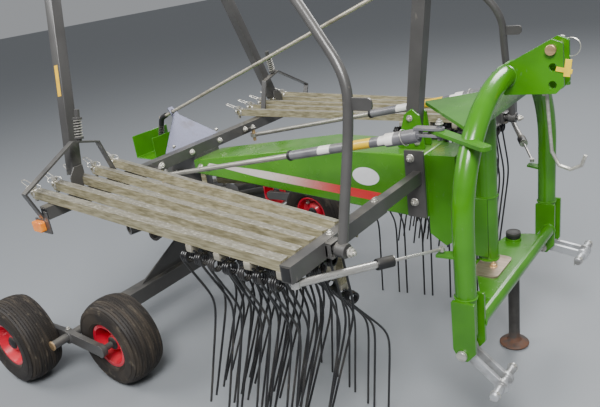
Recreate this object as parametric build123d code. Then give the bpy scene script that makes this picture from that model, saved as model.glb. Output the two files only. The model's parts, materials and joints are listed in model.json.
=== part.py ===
# Single rotor hay rake with a three-point headstock, its tine arms racked for transport.
# Millimetres. X points forward to the tractor, Y to the left, Z up, the ground is Z 0.
# The origin lies on the ground at the middle of the machine's length and width.
import math
import os

from build123d import *

os.makedirs("parts", exist_ok=True)

# Main sizes. hitch_x is the plane of the lower hitch bolts, rotor_x the rotor's axis, and
# the two reaches are how far the shaft hook and the rear wheels stand out beyond them.
rotor_back = 1730
front_reach = 254
rear_reach = 438
hitch_x = (rotor_back + rear_reach - front_reach) / 2
rotor_x = hitch_x - rotor_back
half_track = 988

# Headstock.
leg_y = 428
leg_radius = 35
leg_foot_z = 452
arch_radius = 388
arch_centre_z = 830
clevis_plate = 12
hitch_bolt_z = 388
hitch_bolt_radius = 12
cross_tube_x = hitch_x + 22
cross_tube_z = 474
cross_tube_radius = 25

# Top link bracket, two plates with three holes one above the other.
top_plate_gap = 56
top_plate = 12
top_hole_radius = 13
arch_top_z = arch_centre_z + arch_radius
top_holes = [(146, arch_top_z + 83), (151, arch_top_z + 27), (151, arch_top_z - 29)]

# Swivel between headstock and beam. The pin turns with the headstock.
swivel_x = hitch_x - 88
swivel_pin_radius = 18
swivel_clearance = 0.3
swivel_tube_radius = 36
swivel_plate = 12
swivel_gap = 6
lower_plate_z = 488
upper_plate_z = arch_top_z - 114
gusset_apex = 320
gusset_half = 295

# Lower link levers, cast pairs that carry the link pins.
lever_reach = 154
lever_plate = 14
lever_gap = 30
link_pin_radius = 14
link_pin_length = 188
right_lever_drop = 38.7
left_lever_drop = 7.5

# Parking stand.
stand_x = hitch_x - 60
stand_y = 191
stand_radius = 23
stand_top_z = 536
stand_foot_radius = 62
stand_guide_wall = 7
stand_clearance = 0.4

# Main beam as a side profile, and the head that joins it to the swivel.
beam_half_width = 103
beam_front = 290
beam_top_front_z = 937
beam_low_front_z = 681
beam_knee = (790, 935)
beam_rear = rotor_back - 184
beam_rear_top_z = 820
beam_rear_low_z = 752
beam_low_knee = (692, 703)
head_half = 80
neck_half = 30

# Front crossbars, one a side: an outer sleeve, an inner bar and a bolting plate.
front_bar_x = hitch_x - 311
front_bar_z = 855
front_bar_width = 40
front_bar_height = 56
front_bar_end_y = 926
sleeve_inner_y = 386
inner_bar_shrink = 8
side_plate_thick = 10

# Rear crossbar.
rear_bar_x = rotor_x + 158
rear_bar_z = 861
rear_bar_side = 52
rear_bar_end_y = 905
rear_bar_top_z = rear_bar_z + rear_bar_side / 2

# Racked tine arms.
rack_count = 5
arm_side = 36
arm_front_x = front_bar_x - front_bar_width / 2
arm_front_y = 900
arm_front_pitch = 68
arm_front_z = 872
arm_rear_x = rotor_x + 30
arm_rear_y = 850
arm_rear_pitch = 101
arm_rear_z = rear_bar_top_z + arm_side / 2 + 8.2
plug_length = 34

# Spring tines, in the arm's own crosswise plane: outward and up from the coil. The arms'
# rolls about their own length lean the tines to the machine's right, from outermost inward.
tine_wire = 9
coil_radius = 23
coil_width = 26
tine_leg_gap = 62
tine_pitch = 130
tine_count = 4
first_tine = 12
coil_drop = 56
tine_points = [(18, -8), (-66, -175), (-79, -225), (-72, -277), (33, -580)]
arm_rolls = {-1: [0, 4, 7, 12, 15], 1: [12, 10, 7, 6, 4]}

# Two more arms slung low under the beam, both pointing at the rotor's axis.
# Each has its angle from straight ahead, its roll, its outer end's radius, its height, the
# first tine's distance from the outer end, and how far back its two hangers stand.
low_arms = [(12, 13, 1475, 672, 50, 311, 1300), (-23, 12, 1480, 650, 20, 385, 1500)]
low_arm_inner = 190

# Rotor.
rotor_radius = 250
rotor_low_z = 440
rotor_high_z = 585
socket_z = 515
socket_count = 12
socket_radius = 32
socket_reach = 385
column_radius = 60
shaft_clearance = 0.3
gearbox_radius = 125
gearbox_gap = 8
gearbox_top_z = 740

# Axle, tandem rockers and wheels.
axle_x = rotor_x - 3
axle_z = 215
axle_side = 76
axle_end_y = half_track - 333
rocker_y = half_track - 107
rocker_thick = 26
rocker_height = 54
rocker_boss_radius = 34
pivot_radius = 20
pivot_end_y = half_track - 18
front_wheel_x = rotor_x + 233
rear_wheel_x = rotor_x - 233
front_wheel_y = half_track - 214
rear_wheel_y = half_track
tyre_radius = 204.5
tyre_width = 172
rim_radius = 104
rim_half_width = 70
hub_radius = 34
stub_radius = 15
stub_clearance = 0.3

# Side guards. Each hinges on a line from a bolt on the front bar to one on the rear bar.
guard_front = (hitch_x - 246, 734, 855)
guard_rear = (rotor_x + 80, 681, 961)
guard_tube_radius = 16
guard_post_side = 50
guard_post_top = (rotor_x - 56, 455, 1822)
guard_path = [
    (hitch_x - 246, 731, 866), (hitch_x - 246, 632, 1200), (hitch_x - 246, 612, 1340),
    (hitch_x - 430, 560, 1560), (hitch_x - 640, 528, 1795), (rotor_x - 52, 462, 1800),
]
guard_lug_z = (1250, 1287)
guard_lug_y = 622
guard_lug_length = 80
guard_bolt_radius = 8
guard_clearance = 0.4

# Swivel struts and short braces. Both slide, and both are open at one end's pin.
strut_front = (hitch_x - 128, 288, 1092)
strut_lug_end = (hitch_x - 170, 261)
strut_lug_root = (hitch_x + 84, 424)
strut_rear = (rotor_x + 214, 332, 822)
strut_step = 0.31
strut_barrel = 640
strut_radius = 24
strut_thin_radius = 18
strut_rod_radius = 11
strut_pin_radius = 9
strut_fork_half = 7
strut_clearance = 0.3
eye_radius = 20
eye_bore = 14.5
brace_front = (hitch_x - 66, 446, 755)
brace_rear = (hitch_x - 311, 893, 808)
brace_tube = 330
brace_radius = 12
brace_rod_radius = 5
brace_pin_radius = 8

# Upright post on the beam, its stay rod, and the crank bracket behind.
post_low = (hitch_x - 375, beam_top_front_z + 48)
post_head = (hitch_x - 287, 1590)
post_side = 50
stay_radius = 8
bracket_apex = (rotor_x - 14, 1032)


def rod(start, end, radius, bore=0):
    # A round bar or tube from one point to another.
    start, end = Vector(*start), Vector(*end)
    plane = Plane(origin=start, z_dir=end - start)
    section = Circle(radius)
    if bore:
        section = section - Circle(bore)
    return extrude(plane * section, (end - start).length)


def bar(start, end, width, height):
    # A square bar between two points, its height upright.
    start, end = Vector(*start), Vector(*end)
    along = end - start
    level = Vector(0, 0, 1).cross(along)
    plane = Plane(origin=start, x_dir=level, z_dir=along)
    return extrude(plane * Rectangle(width, height), along.length)


def block(low, high):
    # A square block between two opposite corners.
    size = [b - a for a, b in zip(low, high)]
    middle = [(a + b) / 2 for a, b in zip(low, high)]
    return Pos(*middle) * Box(*size)


def outline_face(points, round_radius, holes):
    face = make_face(Polyline(*points, close=True))
    if round_radius:
        face = fillet(face.vertices(), round_radius)
    for u, v, radius in holes:
        face = face - Pos(u, v) * Circle(radius)
    return face


def side_plate(points, y, thickness, round_radius=0, holes=()):
    # A plate in a lengthwise upright plane, its right face at y. Points are (x, z).
    plane = Plane(origin=(0, y + thickness, 0), x_dir=(1, 0, 0), z_dir=(0, -1, 0))
    return extrude(plane * outline_face(points, round_radius, holes), thickness)


def flat_plate(points, z, thickness, round_radius=0, holes=()):
    # A level plate, its underside at z. Points are (x, y).
    return extrude(Pos(0, 0, z) * outline_face(points, round_radius, holes), thickness)


def cross_plate(points, x, thickness, round_radius=0, holes=()):
    # A plate in a crosswise upright plane, its rear face at x. Points are (y, z).
    plane = Plane(origin=(x, 0, 0), x_dir=(0, 1, 0), z_dir=(1, 0, 0))
    return extrude(plane * outline_face(points, round_radius, holes), thickness)


def join(*solids):
    whole = solids[0]
    for solid in solids[1:]:
        whole = whole + solid
    return whole


def mirrored(shape):
    return mirror(shape, about=Plane.XZ)


def save(name, *solids):
    shape = solids[0] if len(solids) == 1 else Compound(list(solids))
    export_step(shape, f"parts/{name}.step")


# Headstock: one bent tube with a clevis at each foot.
arch_flat = leg_y - arch_radius
clevis_inner_y = leg_y - leg_radius - clevis_plate
clevis_outer_y = leg_y + leg_radius


def arch_tube():
    plane = Plane(origin=(hitch_x, 0, 0), x_dir=(0, 1, 0), z_dir=(1, 0, 0))
    path = (
        Line((-leg_y, leg_foot_z), (-leg_y, arch_centre_z))
        + CenterArc((-arch_flat, arch_centre_z), arch_radius, 180, -90)
        + Line((-arch_flat, arch_top_z), (arch_flat, arch_top_z))
        + CenterArc((arch_flat, arch_centre_z), arch_radius, 90, -90)
        + Line((leg_y, arch_centre_z), (leg_y, leg_foot_z))
    )
    start = Plane(origin=(hitch_x, -leg_y, leg_foot_z), z_dir=(0, 0, 1))
    return sweep(start * Circle(leg_radius), path=plane * path)


def clevis_pair():
    outline = [
        (hitch_x - 32, 587), (hitch_x + 46, 587), (hitch_x + 46, 404),
        (hitch_x + 17, 366), (hitch_x - 12, 366), (hitch_x - 32, 404),
    ]
    hole = (hitch_x, hitch_bolt_z, hitch_bolt_radius)
    return [side_plate(outline, y, clevis_plate, 5, [hole]) for y in (clevis_inner_y, clevis_outer_y)]


def strut_lug():
    # A strip that passes behind the leg and carries the strut's fork pin.
    (x0, y0), (x1, y1) = strut_lug_end, strut_lug_root
    length = math.hypot(x1 - x0, y1 - y0)
    side_x, side_y = -(y1 - y0) / length * 19, (x1 - x0) / length * 19
    outline = [
        (x0 + side_x, y0 + side_y), (x0 - side_x, y0 - side_y),
        (x1 - side_x, y1 - side_y), (x1 + side_x, y1 + side_y),
    ]
    pin_x, pin_y, pin_z = strut_front
    hole = (pin_x, pin_y, strut_pin_radius + strut_clearance)
    return flat_plate(outline, pin_z - 6, 12, 14, [hole])


def brace_lug():
    x, y, z = brace_front
    outline = [(x - 18, y - 16), (hitch_x - 20, leg_y - 22), (hitch_x - 20, leg_y + 26), (x - 18, y + 16)]
    return flat_plate(outline, z - 26, 8, 4)


gusset = flat_plate(
    [
        (hitch_x - gusset_apex, 0), (hitch_x - 42, gusset_half), (hitch_x, gusset_half + 10),
        (hitch_x, -gusset_half - 10), (hitch_x - 42, -gusset_half),
    ],
    upper_plate_z, swivel_plate, 7, [(swivel_x, 0, swivel_pin_radius)],
)
pieces = clevis_pair() + [strut_lug(), brace_lug()]
pieces += [mirrored(piece) for piece in pieces]
save("headstock_frame", join(arch_tube(), gusset, *pieces))

# Lower crossmember: a tube with the swivel's lower plate and the stand's guide behind it.
cross_tube = rod(
    (cross_tube_x, -clevis_inner_y, cross_tube_z), (cross_tube_x, clevis_inner_y, cross_tube_z), cross_tube_radius,
)
stand_hole = stand_radius + stand_clearance
lower_plate = flat_plate(
    [
        (cross_tube_x, -275), (cross_tube_x, 275), (hitch_x - 16, 270), (hitch_x - 92, 240),
        (hitch_x - 128, 60), (hitch_x - 128, -60), (hitch_x - 76, -149), (hitch_x - 16, -270),
    ],
    lower_plate_z, swivel_plate, 0, [(swivel_x, 0, swivel_pin_radius), (stand_x, stand_y, stand_hole)],
)
stand_guide = rod(
    (stand_x, stand_y, lower_plate_z - 70), (stand_x, stand_y, lower_plate_z + swivel_plate + 10),
    stand_hole + stand_guide_wall, stand_hole,
)
save("lower_crossmember", join(cross_tube, lower_plate, stand_guide))


def top_link_plate(y):
    outline = [
        (hitch_x - 51, arch_top_z + 10), (hitch_x + 144, arch_top_z + 115), (hitch_x + 180, arch_top_z + 102),
        (hitch_x + 186, arch_top_z - 32), (hitch_x + 162, arch_top_z - 58), (hitch_x - 5, arch_top_z - 64),
    ]
    holes = [(hitch_x + x, z, top_hole_radius) for x, z in top_holes]
    holes.append((hitch_x, arch_top_z, leg_radius))
    return side_plate(outline, y, top_plate, 8, holes)


half_gap = top_plate_gap / 2
save("top_link_bracket", top_link_plate(-half_gap - top_plate), top_link_plate(half_gap))

# Top link pin in the upper hole, and the two hitch bolts.
pin_x, pin_z = hitch_x + top_holes[0][0], top_holes[0][1]
pin_reach = half_gap + top_plate
shank = rod((pin_x, -pin_reach, pin_z), (pin_x, pin_reach + 26, pin_z), top_hole_radius)
head = rod((pin_x, -pin_reach - 14, pin_z), (pin_x, -pin_reach, pin_z), top_hole_radius + 4)
save("top_link_pin", shank + head)


def hitch_bolt(side_y):
    reach = leg_radius + clevis_plate
    low = (hitch_x, side_y - reach, hitch_bolt_z)
    high = (hitch_x, side_y + reach, hitch_bolt_z)
    solid = rod(low, high, hitch_bolt_radius)
    for end, sign in ((low, -1), (high, 1)):
        solid = solid + rod(end, (end[0], end[1] + sign * 12, end[2]), hitch_bolt_radius + 6)
    return solid


save("hitch_bolts", hitch_bolt(-leg_y), hitch_bolt(leg_y))

# Swivel pin with its end cap under the lower plate.
pin_top = upper_plate_z + swivel_plate + 8
swivel_pin = rod((swivel_x, 0, lower_plate_z - 24), (swivel_x, 0, pin_top), swivel_pin_radius)
cap = rod((swivel_x, 0, lower_plate_z - 12), (swivel_x, 0, lower_plate_z), swivel_pin_radius + 14)
save("swivel_pin", swivel_pin + cap)

# Shaft hook of round rod under the top link bracket.
hook_points = [
    (hitch_x + 122, 0, arch_top_z - 68), (hitch_x + 140, 0, 953), (hitch_x + 165, 0, 905),
    (hitch_x + 202, 0, 893), (hitch_x + 236, 0, 910), (hitch_x + 248, 0, 946),
]
hook_path = Polyline(*hook_points)
hook_start = Plane(origin=hook_points[0], z_dir=hook_path % 0)
hook = sweep(hook_start * Circle(6), path=hook_path, transition=Transition.ROUND)
hook_bar_z = arch_top_z - 62
hook_bar = rod((hook_points[0][0], -half_gap, hook_bar_z), (hook_points[0][0], half_gap, hook_bar_z), 7)
save("shaft_hook", hook + hook_bar)


def link_lever(side_y, drop):
    # Two cast arms on the hitch bolt, with the link pin through their free ends.
    tip_x = hitch_x + lever_reach * math.cos(math.radians(drop))
    tip_z = hitch_bolt_z - lever_reach * math.sin(math.radians(drop))
    reach = lever_gap / 2 + lever_plate
    pin_half = link_pin_length / 2
    solid = rod((tip_x, side_y - pin_half, tip_z), (tip_x, side_y + pin_half, tip_z), link_pin_radius)
    for low in (side_y - reach, side_y + lever_gap / 2):
        high = low + lever_plate
        middle = (low + high) / 2
        solid = join(
            solid,
            rod((hitch_x, low, hitch_bolt_z), (hitch_x, high, hitch_bolt_z), 26),
            rod((tip_x, low, tip_z), (tip_x, high, tip_z), 24),
            bar((hitch_x, middle, hitch_bolt_z), (tip_x, middle, tip_z), lever_plate, 32),
        )
    sleeve = rod((hitch_x, side_y - reach, hitch_bolt_z), (hitch_x, side_y + reach, hitch_bolt_z), 20)
    bore = rod(
        (hitch_x, side_y - reach - 2, hitch_bolt_z), (hitch_x, side_y + reach + 2, hitch_bolt_z),
        hitch_bolt_radius + swivel_clearance,
    )
    return solid + sleeve - bore


save("right_link_lever", link_lever(-leg_y, right_lever_drop))
save("left_link_lever", link_lever(leg_y, left_lever_drop))

# Parking stand: a tube with a bowl foot and a cap.
stand = rod((stand_x, stand_y, 20), (stand_x, stand_y, stand_top_z - 10), stand_radius)
foot_points = [
    (0, 0), (stand_foot_radius - 10, 0), (stand_foot_radius, 8), (stand_foot_radius - 6, 14),
    (stand_radius + 8, 24), (stand_radius, 40), (0, 40),
]
foot = Pos(stand_x, stand_y, 0) * revolve(Plane.XZ * make_face(Polyline(*foot_points, close=True)), Axis.Z)
stand_cap = rod((stand_x, stand_y, stand_top_z - 10), (stand_x, stand_y, stand_top_z), stand_radius + 6)
save("parking_stand", join(stand, foot, stand_cap))

# Main beam.
beam_points = [
    (hitch_x - beam_rear, beam_rear_top_z), (hitch_x - beam_knee[0], beam_knee[1]),
    (hitch_x - beam_front, beam_top_front_z), (hitch_x - beam_front, beam_low_front_z),
    (hitch_x - beam_low_knee[0], beam_low_knee[1]), (hitch_x - beam_rear, beam_rear_low_z),
]
save("main_beam", side_plate(beam_points, -beam_half_width, 2 * beam_half_width))

# Beam head: a tapered box, a narrow neck, a channel below and the swivel tube.
head_front = hitch_x - 176
tube_low_z = lower_plate_z + swivel_plate + swivel_gap
tube_high_z = upper_plate_z - swivel_gap
head_box = side_plate(
    [
        (hitch_x - beam_front, beam_top_front_z - 2), (head_front, beam_top_front_z - 2), (head_front, 600),
        (head_front - 50, 569), (hitch_x - beam_front, 612),
    ],
    -head_half, 2 * head_half,
)
neck = block((head_front, -neck_half, 640), (swivel_x, neck_half, 910))
channel_half = 46
channel = block((head_front, -channel_half, 529), (swivel_x + 14, channel_half, 766))
tube = rod((swivel_x, 0, tube_low_z), (swivel_x, 0, tube_high_z), swivel_tube_radius)
swivel_bore = rod((swivel_x, 0, 500), (swivel_x, 0, upper_plate_z), swivel_pin_radius + swivel_clearance)
save("beam_head", join(head_box, neck, channel, tube) - swivel_bore)

# The right guard's hinge line.
hinge_start = Vector(guard_front[0], -guard_front[1], guard_front[2])
hinge_end = Vector(guard_rear[0], -guard_rear[1], guard_rear[2])
hinge_along = (hinge_end - hinge_start).normalized()


def on_hinge(centre, back, ahead, radius):
    # A round piece on the hinge line, from behind to ahead of a centre.
    return rod(centre + hinge_along * back, centre - hinge_along * ahead, radius)


# Front crossbar with its bolting plate, the guard's bolt and the brace's pin.
bar_front_face = front_bar_x + front_bar_width / 2
bar_root_y = beam_half_width + side_plate_thick
bar_low_z = front_bar_z - front_bar_height / 2


def front_bar():
    sleeve = bar(
        (front_bar_x, -front_bar_end_y, front_bar_z), (front_bar_x, -sleeve_inner_y, front_bar_z),
        front_bar_width, front_bar_height,
    )
    inner = bar(
        (front_bar_x, -sleeve_inner_y, front_bar_z), (front_bar_x, -bar_root_y, front_bar_z),
        front_bar_width - inner_bar_shrink, front_bar_height - inner_bar_shrink,
    )
    plate = side_plate(
        [(hitch_x - 362, 958), (hitch_x - 284, 958), (hitch_x - 284, 690), (hitch_x - 362, 690)],
        -bar_root_y, side_plate_thick, 4,
    )
    y, z = guard_front[1], guard_front[2]
    ear = cross_plate([(-y - 26, z - 26), (-y + 26, z - 26), (-y + 26, z + 26), (-y - 26, z + 26)], bar_front_face, 8, 8)
    bolt = on_hinge(hinge_start, 42, 30, guard_bolt_radius)
    collar = on_hinge(hinge_start, 40, -25, guard_bolt_radius + 5)
    nut = on_hinge(hinge_start, -22, 30, guard_bolt_radius + 5)
    x, y, z = brace_rear
    brace_pin = rod((x, -y, z - 14), (x, -y, bar_low_z), brace_pin_radius)
    return join(sleeve, inner, plate, ear, bolt, collar, nut, brace_pin)


right_front_bar = front_bar()
save("right_front_bar", right_front_bar)
save("left_front_bar", mirrored(right_front_bar))

# Rear crossbar with the guards' hinge bolts, and the struts' pins under its lugs.
rear_bar = bar(
    (rear_bar_x, -rear_bar_end_y, rear_bar_z), (rear_bar_x, rear_bar_end_y, rear_bar_z), rear_bar_side, rear_bar_side,
)
ear_x = guard_rear[0] + guard_post_side / 2 + 6
rear_face = rear_bar_x - rear_bar_side / 2


def rear_fittings():
    y, z = guard_rear[1], guard_rear[2]
    low = rear_bar_top_z + 1
    outline = [
        (-y - 49, low), (-y + 3, low), (-y + 3, z - 29), (-y + 20, z - 16), (-y + 20, z + 22),
        (-y - 22, z + 22), (-y - 49, z - 16),
    ]
    ear = cross_plate(outline, ear_x, 8)
    foot = block((ear_x, -y - 49, low - 40), (rear_face, -y + 3, low + 2))
    bolt = on_hinge(hinge_end, guard_post_side / 2 + 16, guard_post_side / 2 + 12, guard_bolt_radius)
    x, y, z = strut_rear
    lug = flat_plate(
        [(rear_bar_x, -y - 26), (x + 14, -y - 14), (x + 14, -y + 14), (rear_bar_x, -y + 26)], z + 32, 8,
    )
    return [ear, foot, bolt, lug]


fittings = rear_fittings()
save("rear_bar", join(rear_bar, *fittings, *[mirrored(piece) for piece in fittings]))
strut_x, strut_y, strut_z = strut_rear
right_pin = rod((strut_x, -strut_y, strut_z - 32), (strut_x, -strut_y, strut_z + 32), strut_pin_radius)
save("strut_pins", right_pin, mirrored(right_pin))

# Bows over the racked arms, one a side, with the guard's latch housing on top.
bow_x = ear_x + 25
bow_width = 30
bow_thick = 8
bow_points = [(909.2, 838), (953, 957), (692, 1093), (572, 1060), (519, rear_bar_top_z + 1)]


def rear_bow():
    strips = []
    for (y0, z0), (y1, z1) in zip(bow_points[:-1], bow_points[1:]):
        strips.append(bar((bow_x, -y0, z0), (bow_x, -y1, z1), bow_width, bow_thick))
    for y, z in bow_points[1:-1]:
        strips.append(rod((bow_x - bow_width / 2, -y, z), (bow_x + bow_width / 2, -y, z), bow_thick / 2))
    latch = rod((bow_x, -656, 1084), (bow_x, -629, 1216), 11)
    flanges = [rod((bow_x, -656 + rise * 0.2, 1084 + rise), (bow_x, -654.4 + rise * 0.2, 1092 + rise), 20) for rise in (12, 92)]
    return join(*strips, latch, *flanges)


right_bow = rear_bow()
save("rear_bows", right_bow, mirrored(right_bow))


# Racked arms: square tubes with a tapered plug at the rear end.
def arm_ends(index, side):
    front = Vector(arm_front_x, side * (arm_front_y - arm_front_pitch * index), arm_front_z)
    rear = Vector(arm_rear_x, side * (arm_rear_y - arm_rear_pitch * index), arm_rear_z)
    return front, rear


def racked_arm(index, side):
    front, rear = arm_ends(index, side)
    along = (rear - front).normalized()
    plug = extrude(Plane(origin=rear, z_dir=along) * Circle(arm_side / 2 - 2), plug_length, taper=18)
    trim = block((arm_front_x, -front_bar_end_y, 0), (arm_front_x + 20, front_bar_end_y, front_bar_z * 2))
    tube = bar(front - along * 6, rear, arm_side, arm_side).rotate(Axis(front, along), arm_rolls[side][index])
    return tube + plug - trim


save("right_rack_arms", *[racked_arm(index, -1) for index in range(rack_count)])
save("left_rack_arms", *[racked_arm(index, 1) for index in range(rack_count)])


# A spring tine for an arm along X: coils under a clamp, a bent leg from each. It has two,
# but one where the brace runs close in front.
def tine_leg(coil_x):
    points = [(coil_x, -out, up) for out, up in tine_points]
    path = Polyline(*points)
    start = Plane(origin=points[0], x_dir=(1, 0, 0), z_dir=path % 0)
    return sweep(start * Rectangle(tine_wire, tine_wire), path=path, transition=Transition.RIGHT)


def spring_tine(coils):
    pieces = []
    for coil_x in coils:
        plane = Plane(origin=(coil_x - coil_width / 2, 0, 0), x_dir=(0, 1, 0), z_dir=(1, 0, 0))
        pieces += [extrude(plane * RegularPolygon(coil_radius, 6), coil_width), tine_leg(coil_x)]
    bridge_low = coil_radius - 2 * tine_wire
    pieces.append(block((coils[0], -tine_wire / 2, bridge_low), (coils[-1], tine_wire / 2, bridge_low + tine_wire)))
    pieces.append(block((-11, -13, bridge_low), (11, 13, coil_drop - 0.4)))
    return Pos(0, 0, -coil_drop - arm_side / 2) * join(*pieces)


double_tine = spring_tine([-tine_leg_gap / 2, tine_leg_gap / 2])
single_tine = spring_tine([-tine_leg_gap / 2, 0])


def rack_tines(side):
    tines = []
    for index in range(rack_count):
        front, rear = arm_ends(index, side)
        for place in range(tine_count):
            share = (first_tine + tine_pitch * place) / (arm_front_x - arm_rear_x)
            spot = front + (rear - front) * share
            tine = single_tine if place == 0 and index < 2 else double_tine
            placed = Pos(spot.X, spot.Y, spot.Z) * tine
            tines.append(placed.rotate(Axis(front, rear - front), arm_rolls[side][index]))
    return tines


save("right_rack_tines", *rack_tines(-1))
save("left_rack_tines", *rack_tines(1))

# The two low arms under the beam, each on two hangers, and their tines.
def beam_under(x):
    # Height of the beam's underside behind its low knee.
    (knee_back, knee_z), back = beam_low_knee, hitch_x - x
    return knee_z + (beam_rear_low_z - knee_z) * (back - knee_back) / (beam_rear - knee_back)


low_solids = []
low_tines = []
for angle, roll, outer, arm_z, first, front_back, rear_back in low_arms:
    low_place = Pos(rotor_x, 0, arm_z) * Rot(0, 0, angle) * Rot(roll, 0, 0)
    arm = low_place * bar((low_arm_inner, 0, 0), (outer, 0, 0), arm_side, arm_side)
    front_x, rear_x = hitch_x - front_back, hitch_x - rear_back
    y = math.tan(math.radians(angle)) * (front_x - rotor_x)
    top = bar_low_z + (inner_bar_shrink / 2 if abs(y) < sleeve_inner_y else 0)
    front_hanger = block((front_x - 14, y - 4, arm_z), (front_x + 14, y + 4, top))
    if front_x < front_bar_x:
        front_hanger = front_hanger + block((front_x - 14, y - 4, top - 12), (front_bar_x + 14, y + 4, top))
    y = math.tan(math.radians(angle)) * (rear_x - rotor_x)
    rear_hanger = block((rear_x - 14, y - 4, arm_z), (rear_x + 14, y + 4, beam_under(rear_x + 14)))
    low_solids.append(join(arm, front_hanger, rear_hanger))
    for place in range(tine_count):
        low_tines.append(low_place * Pos(outer - first - tine_pitch * place, 0, 0) * double_tine)
save("low_arms", *low_solids)
save("low_tines", *low_tines)

# Gearbox under the beam's rear, and the fixed column below it with the axle.
gearbox_low_z = rotor_high_z + gearbox_gap
gearbox = rod((rotor_x, 0, gearbox_low_z), (rotor_x, 0, gearbox_top_z), gearbox_radius)
shoe_top_z = rear_bar_z - rear_bar_side / 2
tray_front_x = rotor_x - 15
shoe = block((tray_front_x, -85, gearbox_top_z), (hitch_x - beam_rear, 85, shoe_top_z))
save("gearbox", gearbox + shoe)
column = rod((rotor_x, 0, axle_z), (rotor_x, 0, gearbox_low_z), column_radius)
axle_tube = bar((axle_x, -axle_end_y, axle_z), (axle_x, axle_end_y, axle_z), axle_side, axle_side)
gusset_top_z = rotor_low_z - 24
axle_gusset = cross_plate(
    [(-450, axle_z + axle_side / 2 - 1), (-120, gusset_top_z), (-30, gusset_top_z), (-30, axle_z)], axle_x - 5, 10,
)
axle_stub = rod((axle_x, -axle_end_y, axle_z), (axle_x, -pivot_end_y, axle_z), pivot_radius)
save("axle", join(axle_tube, column, axle_gusset, mirrored(axle_gusset), axle_stub, mirrored(axle_stub)))


# Tandem rockers with a stub for each wheel.
def rocker():
    y = -rocker_y
    half = rocker_thick / 2
    pieces = [rod((axle_x, y - half - 6, axle_z), (axle_x, y + half, axle_z), rocker_boss_radius)]
    for x, wheel_y in ((front_wheel_x, front_wheel_y), (rear_wheel_x, rear_wheel_y)):
        side = 1 if wheel_y < rocker_y else -1
        pieces.append(bar((axle_x, y, axle_z), (x, y, tyre_radius), rocker_thick, rocker_height))
        pieces.append(rod((x, y - half, tyre_radius), (x, y + half, tyre_radius), 30))
        pieces.append(rod((x, y, tyre_radius), (x, -wheel_y + side * 60, tyre_radius), stub_radius))
    return join(*pieces) - rod((axle_x, y - 100, axle_z), (axle_x, y + 100, axle_z), pivot_radius)


right_rocker = rocker()
save("right_rocker", right_rocker)
save("left_rocker", mirrored(right_rocker))

# Wheels: a rounded low-pressure tyre on a dished rim.
tyre_section = [
    (rim_half_width, rim_radius + 2), (tyre_width / 2, rim_radius + 34), (tyre_width / 2, rim_radius + 66),
    (tyre_width / 2 - 14, tyre_radius - 12), (tyre_width / 2 - 36, tyre_radius),
]
rim_section = [
    (rim_half_width, rim_radius + 2), (rim_half_width, rim_radius - 8), (24, rim_radius - 18), (18, 60),
    (50, hub_radius), (50, stub_radius + stub_clearance), (-44, stub_radius + stub_clearance),
    (-44, hub_radius), (4, 56), (10, rim_radius - 24), (-rim_half_width, rim_radius - 14),
    (-rim_half_width, rim_radius + 2),
]


def wheel_ring(section):
    plane = Plane(origin=(0, 0, 0), x_dir=(0, 1, 0), z_dir=(1, 0, 0))
    return revolve(plane * make_face(Polyline(*section, close=True)), Axis.Y)


tyre = wheel_ring(tyre_section + [(-width, radius) for width, radius in reversed(tyre_section)])
rim = wheel_ring(rim_section)
turned_rim = Rot(0, 0, 180) * rim
for side_name, side in (("right", -1), ("left", 1)):
    for place_name, x, y in (("front", front_wheel_x, front_wheel_y), ("rear", rear_wheel_x, rear_wheel_y)):
        place = Pos(x, side * y, tyre_radius)
        save(f"{side_name}_{place_name}_tyre", place * tyre)
        faces_left = (side > 0) == (place_name == "rear")
        save(f"{side_name}_{place_name}_rim", place * (rim if faces_left else turned_rim))

# Rotor: the closed cam housing with a ring of empty arm sockets.
housing_points = [
    (column_radius + shaft_clearance, rotor_low_z), (rotor_radius - 30, rotor_low_z), (rotor_radius, rotor_low_z + 30),
    (rotor_radius, rotor_high_z - 30), (rotor_radius - 40, rotor_high_z), (column_radius + shaft_clearance, rotor_high_z),
]
housing = Pos(rotor_x, 0, 0) * revolve(Plane.XZ * make_face(Polyline(*housing_points, close=True)), Axis.Z)
for index in range(socket_count):
    turn = Pos(rotor_x, 0, 0) * Rot(0, 0, 360 / socket_count * (index + 0.5))
    socket = rod((rotor_radius - 20, 0, socket_z), (socket_reach, 0, socket_z), socket_radius)
    mouth = rod((socket_reach - 100, 0, socket_z), (socket_reach + 2, 0, socket_z), arm_side / 2 + 2)
    housing = housing + turn * socket - turn * mouth
save("rotor_housing", housing)


# Guards: a bent round tube in front, a square post behind and one top rail.
def guard():
    points = [(x, -y, z) for x, y, z in guard_path]
    path = Polyline(*points)
    start = Plane(origin=points[0], z_dir=path % 0)
    tube = sweep(start * Circle(guard_tube_radius), path=path, transition=Transition.ROUND)
    top = Vector(guard_post_top[0], -guard_post_top[1], guard_post_top[2])
    post_along = (top - hinge_end).normalized()
    post_low_end = hinge_end - post_along * 20
    post_plane = Plane(origin=post_low_end, x_dir=Vector(1, 0, 0) - post_along * post_along.X, z_dir=post_along)
    post = extrude(post_plane * Rectangle(guard_post_side, guard_post_side), (top - post_low_end).length)
    eye = on_hinge(hinge_start, 18, 18, guard_tube_radius + 8)
    (low, high), root, tip = guard_lug_z, guard_front[0], guard_front[0] + guard_lug_length
    outline = [(root, low), (tip, low), (tip, high), (root, high)]
    lug = side_plate(outline, -guard_lug_y - 4, 8, 0, [(tip - 18, (low + high) / 2, 8)])
    bore_radius = guard_bolt_radius + guard_clearance
    return join(tube, post, eye, lug) - on_hinge(hinge_start, 60, 60, bore_radius) - on_hinge(hinge_end, 60, 60, bore_radius)


right_guard = guard()
save("right_guard", right_guard)
save("left_guard", mirrored(right_guard))


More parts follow.
